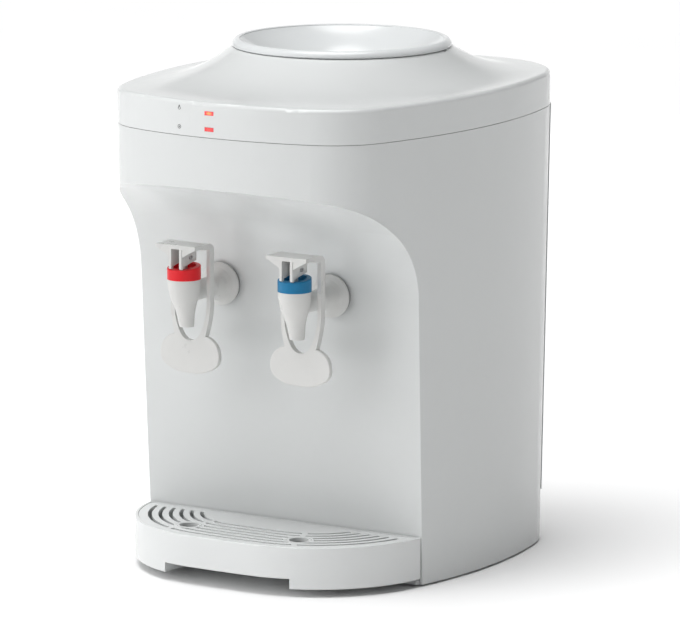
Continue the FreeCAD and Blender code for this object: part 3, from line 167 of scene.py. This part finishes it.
# ---------------------------------------------------------------- materials
def moulded(name, colour, rough=0.24, grain=0.05, grain_scale=2600, flow=0.007, specular=0.5, coat=0.0):
    """Moulded plastic: faint flow in the colour, smudges in the gloss, fine grain and a slow ripple."""
    g = Graph(name)
    slow = g.noise(9.0, 3.0, vector=g.stretched(1, 1, 0.45))
    fine = g.noise(140.0, 4.0, 0.6)
    tint = g.mix(g.map(slow, 0, 1), shade(colour, 1 - flow), shade(colour, 1 + flow))
    tint = g.mix(g.map(fine, 0.0, 0.35, 0.45, 0.75), tint, shade(colour, 1 - 2.2 * flow))
    g.colour(tint)
    smudge = g.noise(34.0, 5.0, 0.62)
    g.gloss(g.map(smudge, rough * 0.85, rough * 1.30))
    g.bumps((slow, 0.06, 0.0010), (g.noise(grain_scale, 2.0), grain, 0.00008))
    g.set(IOR=1.50, Specular_IOR_Level=specular, Coat_Weight=coat, Coat_Roughness=0.08)
    return g.mat


def matt(name, colour, rough=0.55, grain=0.25, scale=1500, spread=0.06):
    """Plain moulded or cast matt plastic."""
    g = Graph(name)
    a = g.noise(60.0, 4.0, 0.6)
    g.colour(g.mix(g.map(a, 0, 1), shade(colour, 1 - spread), shade(colour, 1 + spread)))
    g.gloss(g.map(g.noise(220.0, 3.0), rough - 0.07, rough + 0.07))
    g.bumps((g.noise(scale, 3.0), grain, 0.00015))
    g.set(IOR=1.48)
    return g.mat


def rubber(name, colour):
    """Dusty rubber with a fine cell grain."""
    g = Graph(name)
    dust = g.noise(85.0, 5.0, 0.65)
    g.colour(g.mix(g.map(dust, 0, 1, 0.45, 0.8), colour, shade(colour, 1.36)))
    g.gloss(g.map(dust, 0.57, 0.74))
    g.bumps((g.cells(2400), 0.25, 0.00012))
    g.set(IOR=1.45, Sheen_Weight=0.08, Sheen_Roughness=0.5)
    return g.mat


def silicone(name, colour):
    """Milky silicone: soft light inside the wall and faint draw lines."""
    g = Graph(name)
    a = g.noise(70.0, 3.0)
    g.colour(g.mix(g.map(a, 0, 1), shade(colour, 0.95), shade(colour, 1.03)))
    g.gloss(g.map(a, 0.32, 0.46))
    g.bumps((g.noise(900, 2.0), 0.12, 0.0001))
    g.set(IOR=1.41, Subsurface_Weight=0.35, Subsurface_Scale=0.002)
    return g.mat


def steel(name, colour, rough=0.30, stretch=(1, 1, 40), scale=220.0, spread=0.10):
    """Drawn or plated steel: long fine brush lines in colour and gloss."""
    g = Graph(name)
    lines = g.noise(scale, 4.0, 0.7, g.stretched(*stretch))
    cloud = g.noise(30.0, 3.0)
    base = g.mix(g.map(lines, 0, 1), shade(colour, 1 - spread), shade(colour, 1 + spread))
    g.colour(g.mix(g.map(cloud, 0, 0.3), base, shade(colour, 0.85)))
    g.gloss(g.map(lines, rough - 0.08, rough + 0.10))
    g.bumps((lines, 0.15, 0.00008))
    g.set(Metallic=1.0)
    return g.mat


def lens(name, colour, glow, strength, centre):
    """Red lens with a lit patch behind it that fades to its ends, and fine moulded ribs."""
    g = Graph(name)
    sep = g.t.nodes.new("ShaderNodeSeparateXYZ")
    g.link(g.coord, sep.inputs[0])
    dx = g.math("MULTIPLY", g.math("SUBTRACT", sep.outputs[0], centre[0]), 1 / LIT_HALF_X)
    dz = g.math("MULTIPLY", g.math("SUBTRACT", sep.outputs[2], centre[1]), 1 / LIT_HALF_Z)
    d2 = g.math("ADD", g.math("MULTIPLY", dx, dx), g.math("MULTIPLY", dz, dz))
    lit = g.map(d2, 1.0, 0.0, 0.0, 1.3)
    ribs = g.wave(640.0, "X")
    g.colour(g.mix(lit, colour, glow))
    g.link(g.mix(lit, shade(colour, 0.8), glow), g.bsdf.inputs["Emission Color"])
    g.link(g.math("MULTIPLY", g.map(lit, 0.25, 1.0, 0, 1), strength), g.bsdf.inputs["Emission Strength"])
    g.gloss(g.map(g.noise(400.0, 3.0), 0.10, 0.20))
    g.bumps((ribs, 0.12, 0.00008))
    g.set(IOR=1.49, Coat_Weight=0.3, Coat_Roughness=0.05)
    return g.mat


def foam(name, colour):
    """Closed-cell foam."""
    g = Graph(name)
    c = g.cells(700)
    g.colour(g.mix(g.map(c, 0, 1, 0.0, 0.6), shade(colour, 0.7), shade(colour, 1.1)))
    g.gloss(g.map(c, 0.75, 0.95, 0.0, 0.6))
    g.bumps((c, 0.5, 0.0005))
    return g.mat


def board(name, colour):
    """Circuit board: glass weave and darker traces."""
    g = Graph(name)
    weave = g.math("MULTIPLY", g.wave(480.0, "X"), g.wave(480.0, "Z"))
    trace = g.map(g.wave(90.0, "Z", 1.5), 0, 1, 0.72, 0.78)
    base = g.mix(g.map(weave, 0, 1, 0, 1), shade(colour, 0.8), shade(colour, 1.2))
    g.colour(g.mix(trace, base, shade(colour, 1.8)))
    g.gloss(g.map(weave, 0.32, 0.45, 0, 1))
    g.bumps((weave, 0.2, 0.00005))
    return g.mat


def sleeve(name, colour):
    """Braided sleeve on the leads."""
    g = Graph(name)
    a = g.wave(420.0, "DIAGONAL")
    b = g.wave(420.0, "DIAGONAL", vector=g.stretched(-1, 1, -1))
    weave = g.math("MAXIMUM", a, b)
    g.colour(g.mix(g.map(weave, 0, 1, 0, 1), shade(colour, 0.5), shade(colour, 1.9)))
    g.gloss(g.map(weave, 0.5, 0.7, 0, 1))
    g.bumps((weave, 0.5, 0.0003))
    return g.mat


LIT_HALF_X, LIT_HALF_Z = 0.0026, 0.0012
WHITE = (0.680, 0.696, 0.694)
lamp_x = sum(v.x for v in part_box("lamp_window_heating")) / 2
lamp_z = [sum(v.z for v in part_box(n)) / 2 for n in ("lamp_window_heating", "lamp_window_warm")]

MATS = {
    "shell_white": moulded("shell_gloss_white", WHITE, 0.20, 0.03),
    # Painted light: the lid is the shell white made 2% lighter, so its top reads as if more light fell on
    # it.
    "cover_white_painted_light": moulded("cover_gloss_white_painted_light", shade(WHITE, 1.02), 0.20, 0.03),
    "tap_white": moulded("tap_satin_white", (0.650, 0.650, 0.636), 0.30, 0.10, 3200, 0.02),
    "tray_white": moulded("tray_satin_white", (0.735, 0.749, 0.747), 0.20, 0.06, 2800),
    "funnel_white": moulded("funnel_gloss_white", (0.720, 0.740, 0.744), 0.20, 0.03),
    "collar_red": moulded("collar_red_plastic", (0.74, 0.012, 0.020), 0.34, 0.10, 3000, 0.05, specular=0.28),
    "collar_blue": moulded(
        "collar_blue_plastic", (0.008, 0.170, 0.350), 0.34, 0.10, 3000, 0.05, specular=0.28),
    "rubber_black": rubber("foot_black_rubber", (0.025, 0.025, 0.026)),
    "silicone_clear": silicone("milky_silicone", (0.80, 0.81, 0.80)),
    "gasket_grey": rubber("gasket_grey_rubber", (0.22, 0.22, 0.22)),
    "steel": steel("tank_drawn_steel", (0.62, 0.62, 0.61), 0.26, (1, 1, 30)),
    "zinc_steel": steel("zinc_plated_steel", (0.60, 0.61, 0.64), 0.34, (8, 8, 8), 160.0),
    "spring_steel": steel("spring_bright_steel", (0.58, 0.58, 0.60), 0.22, (1, 1, 1), 600.0),
    "pan_grey": matt("base_pale_grey", (0.72, 0.73, 0.735)),
    "reservoir_white": matt("reservoir_polypropylene", (0.76, 0.79, 0.80), 0.42, 0.12),
    "foam_grey": foam("jacket_grey_foam", (0.42, 0.43, 0.45)),
    "mica_band": steel("heater_band_sheet", (0.42, 0.38, 0.34), 0.40, (30, 30, 1), 120.0, 0.18),
    "thermo_brown": matt("thermostat_phenolic", (0.10, 0.055, 0.040), 0.40),
    "board_green": board("lamp_board_laminate", (0.025, 0.17, 0.085)),
    "led_red": moulded("led_red_epoxy", (0.75, 0.06, 0.04), 0.15, 0.02),
    "block_white": matt("terminal_nylon", (0.70, 0.69, 0.64), 0.45),
    "black_plastic": moulded("black_satin_plastic", (0.022, 0.022, 0.024), 0.34, 0.20, 1800, 0.10),
    "rocker_red": moulded("rocker_red_plastic", (0.50, 0.018, 0.018), 0.18, 0.03, coat=0.3),
    "wire_sleeve": sleeve("lead_braided_sleeve", (0.07, 0.07, 0.075)),
    "print_grey": matt("printed_grey_ink", (0.07, 0.07, 0.075), 0.45, 0.1, 3000, 0.15),
    "lens_top": lens("lamp_lens_bright", (0.80, 0.030, 0.042), (1.0, 0.27, 0.07), 0.62, (lamp_x, lamp_z[0])),
    "lens_low": lens("lamp_lens_dim", (0.76, 0.028, 0.036), (0.90, 0.055, 0.050), 0.42, (lamp_x, lamp_z[1])),
}

slots = {s["node"]: s["material_slot"] for s in frame["record"]["subparts"]}
# top_cover takes the lid white with painted light, 2% lighter than the shell white.
special = {"lamp_window_heating": "lens_top", "lamp_window_warm": "lens_low", "top_cover": "cover_white_painted_light"}
for node, obj in NODES.items():
    mat = MATS[special.get(node, slots[node])]
    if not obj.material_slots:
        obj.data.materials.append(mat)
    for s in obj.material_slots:
        s.material = mat


# ---------------------------------------------------------------- printed marks beside the lamps (metres)
FRONT_R = 0.274
FRONT_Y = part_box("top_cover")[0].y
MARK_X = -0.0306
INK = 0.00004
FLAME_OUTER_Z, FLAME_INNER_Z = 0.3503, 0.3501
RING_Z = 0.3368


def on_band(u, v, lift):
    """A point on the lid's curved front: u along the arc from the middle, v up, lift outwards."""
    r = FRONT_R + lift
    a = u / FRONT_R
    return Vector((r * math.sin(a), FRONT_Y + FRONT_R - r * math.cos(a), v))


def printed(name, loops):
    """Thin ink laid on the lid front: each loop is a pair of outer and inner (u, v) outlines."""
    bm = bmesh.new()
    for outer, inner in loops:
        a = [bm.verts.new(on_band(u, v, INK)) for u, v in outer]
        b = [bm.verts.new(on_band(u, v, INK)) for u, v in inner]
        c = [bm.verts.new(on_band(u, v, -INK)) for u, v in outer]
        d = [bm.verts.new(on_band(u, v, -INK)) for u, v in inner]
        for i in range(len(outer)):
            j = (i + 1) % len(outer)
            bm.faces.new((a[i], a[j], b[j], b[i]))
            bm.faces.new((c[j], c[i], d[i], d[j]))
            bm.faces.new((a[j], a[i], c[i], c[j]))
            bm.faces.new((b[i], b[j], d[j], d[i]))
    bmesh.ops.recalc_face_normals(bm, faces=bm.faces)
    mesh = bpy.data.meshes.new(name)
    bm.to_mesh(mesh)
    bm.free()
    obj = bpy.data.objects.new(name, mesh)
    scene.collection.objects.link(obj)
    mesh.materials.append(MATS["print_grey"])
    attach(obj, "housing")


def drop(cx, cz, r, tall, count=40):
    """A drop or flame outline."""
    pts = []
    for i in range(count):
        a = 2 * math.pi * i / count
        k = 1 + (tall - 1) * max(0.0, math.cos(a)) ** 3
        pts.append((cx + r * math.sin(a) * (1 - 0.35 * max(0.0, math.cos(a))), cz + r * k * math.cos(a)))
    return pts


def circle(cx, cz, r, count=40):
    return [(cx + r * math.sin(2 * math.pi * i / count), cz + r * math.cos(2 * math.pi * i / count))
            for i in range(count)]


flame = (drop(MARK_X, FLAME_OUTER_Z, 0.00125, 1.9), drop(MARK_X, FLAME_INNER_Z, 0.00080, 1.7))
rim = (circle(MARK_X, RING_Z, 0.00150), circle(MARK_X, RING_Z, 0.00115))
dot = (circle(MARK_X, RING_Z, 0.00050), circle(MARK_X, RING_Z, 0.00010))
printed("mark_heating", [flame])
printed("mark_warm", [rim, dot])


# ---------------------------------------------------------------- stage
FLOOR_HALF = 14.0
FLOOR_CELLS = 40
MIDDLE = Vector((0, 0, 0.19))
WORLD_COLOUR = (0.985, 0.99, 1.0, 1)
WORLD_STRENGTH = 0.10


def stage_floor():
    bm = bmesh.new()
    bmesh.ops.create_grid(bm, x_segments=FLOOR_CELLS, y_segments=FLOOR_CELLS, size=FLOOR_HALF)
    mesh = bpy.data.meshes.new("studio_floor")
    bm.to_mesh(mesh)
    bm.free()
    obj = bpy.data.objects.new("studio_floor", mesh)
    scene.collection.objects.link(obj)
    g = Graph("studio_paper")
    a = g.noise(3.0, 3.0)
    g.colour(g.mix(g.map(a, 0, 1), (0.93, 0.93, 0.93), (0.945, 0.945, 0.945)))
    g.set(Roughness=0.85, Specular_IOR_Level=0.1)
    mesh.materials.append(g.mat)


def area(name, azimuth, elevation, distance, size_x, size_y, power):
    """A soft box aimed at the middle of the appliance."""
    back = toward(azimuth, elevation)
    light = bpy.data.lights.new(name, "AREA")
    light.shape = "RECTANGLE"
    light.size = size_x
    light.size_y = size_y
    light.energy = power
    obj = bpy.data.objects.new(name, light)
    facing(obj, back)
    obj.location = MIDDLE + back * distance
    return obj


def sun(name, azimuth, elevation, strength, spread):
    """Distant light, even over the whole floor. spread is its width in degrees."""
    light = bpy.data.lights.new(name, "SUN")
    light.energy = strength
    light.angle = math.radians(spread)
    facing(bpy.data.objects.new(name, light), toward(azimuth, elevation))


stage_floor()
sun("key_sun", -28, 40, 0.66, 60)
sun("top_sun", -30, 84, 2.72, 46)
area("left_soft_box", -44, 14, 1.60, 2.0, 1.0, 7.9)
area("back_panel", 208, 9, 2.20, 2.6, 0.8, 5.0).visible_camera = False

world = bpy.data.worlds.new("studio")
scene.world = world
world.use_nodes = True
sky = world.node_tree.nodes["Background"]
sky.inputs["Color"].default_value = WORLD_COLOUR
sky.inputs["Strength"].default_value = WORLD_STRENGTH
scene.view_settings.view_transform = "Standard"
scene.view_settings.look = "None"

# ---------------------------------------------------------------- camera
CAM_AZ, CAM_EL = 32.913, 10.259
CAM_DIST = 4.48289
CAM_LENS, SENSOR = 321.1, 36.0
TARGET = Vector((0.005383, -0.004272, 0.179255))
back = toward(CAM_AZ, CAM_EL)
cam_data = bpy.data.cameras.new("camera")
cam = bpy.data.objects.new("camera", cam_data)
facing(cam, back)
cam.location = TARGET + back * CAM_DIST
cam_data.sensor_width = SENSOR
cam_data.lens = CAM_LENS
cam_data.clip_start = 0.05
cam_data.clip_end = 60.0
scene.camera = cam
